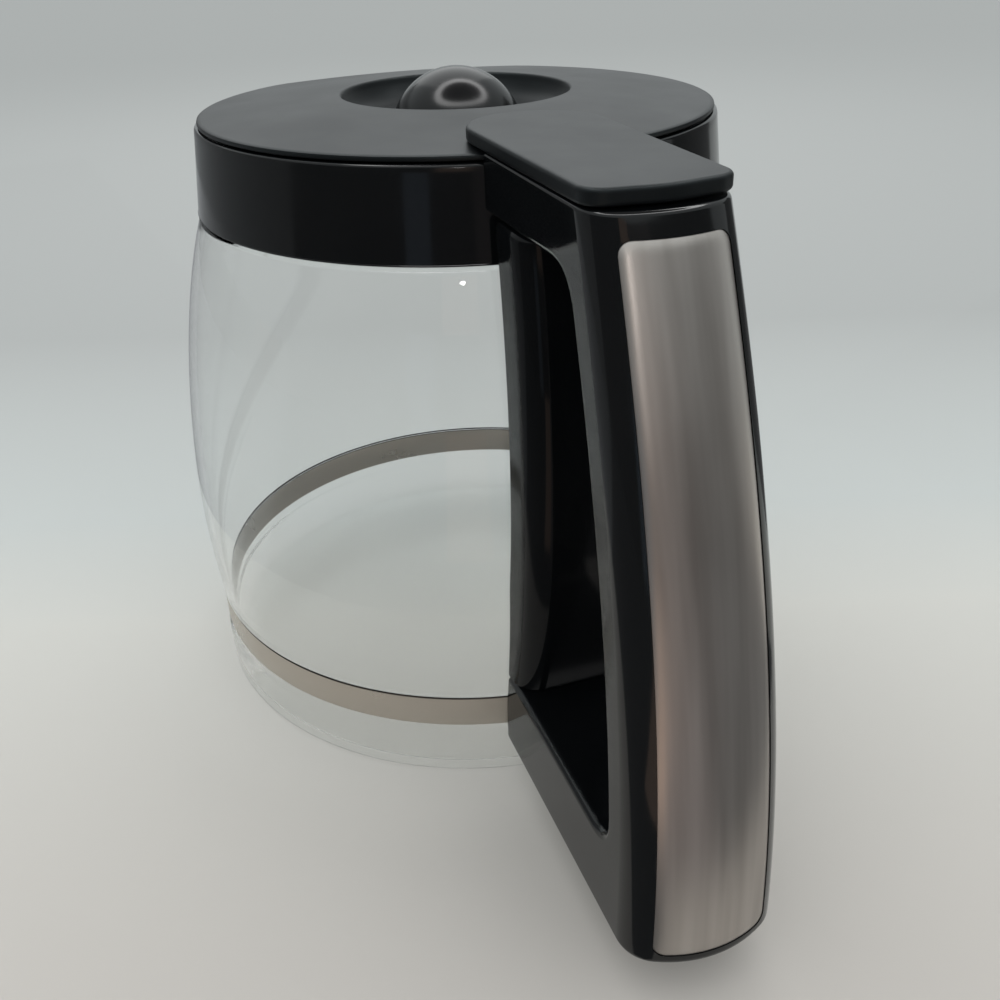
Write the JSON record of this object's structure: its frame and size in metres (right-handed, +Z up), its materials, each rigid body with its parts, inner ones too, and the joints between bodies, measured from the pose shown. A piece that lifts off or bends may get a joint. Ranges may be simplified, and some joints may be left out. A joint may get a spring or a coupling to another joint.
{
  "type": "coffee carafe",
  "caption": "Clear glass coffee carafe with a black pour collar, a closed-loop handle with a steel grip inlay on a clamp band, and a lift-off drip-through lid with a thumb plate.",
  "frame": {"origin": "centre of the glass foot, on the surface that the carafe stands on", "axes": "+Z up along the vessel's axis, +X towards the handle, spout towards -X"},
  "size_m": [0.2288, 0.157, 0.1606],
  "materials": {
    "glass": "clear polished",
    "gasket": "matt silicone",
    "collar_plastic": "gloss black",
    "handle_plastic": "gloss black",
    "dome_plastic": "high gloss black",
    "lid_plastic": "satin black",
    "inlay_steel": "long-grain brushed",
    "band_steel": "bright rolled",
    "screw_steel": "plain zinc"
  },
  "bodies": {
    "carafe": {"glass_vessel": "glass", "rim_gasket": "gasket", "collar": "collar_plastic", "band": "band_steel", "band_screw": "screw_steel", "band_nut": "screw_steel", "handle_frame": "handle_plastic", "grip_liner": "handle_plastic", "grip_inlay": "inlay_steel", "knuckle_guard": "handle_plastic", "guard_screw": "screw_steel", "lower_cover": "handle_plastic", "cover_screw": "screw_steel", "arm_screw_left": "screw_steel", "arm_screw_right": "screw_steel"},
    "lid": {"lid_top": "lid_plastic", "drip_cup": "lid_plastic", "drip_dome": "dome_plastic", "dome_screw": "screw_steel", "cup_screw_1": "screw_steel", "cup_screw_2": "screw_steel", "cup_screw_3": "screw_steel", "thumb_plate": "lid_plastic", "plate_screw_left": "screw_steel", "plate_screw_right": "screw_steel"}
  },
  "joints": [
    {"name": "lid_lift", "type": "slide", "parent": "carafe", "child": "lid", "axis": [0, 0, 1], "range_m": [0, 0.08]}
  ]
}
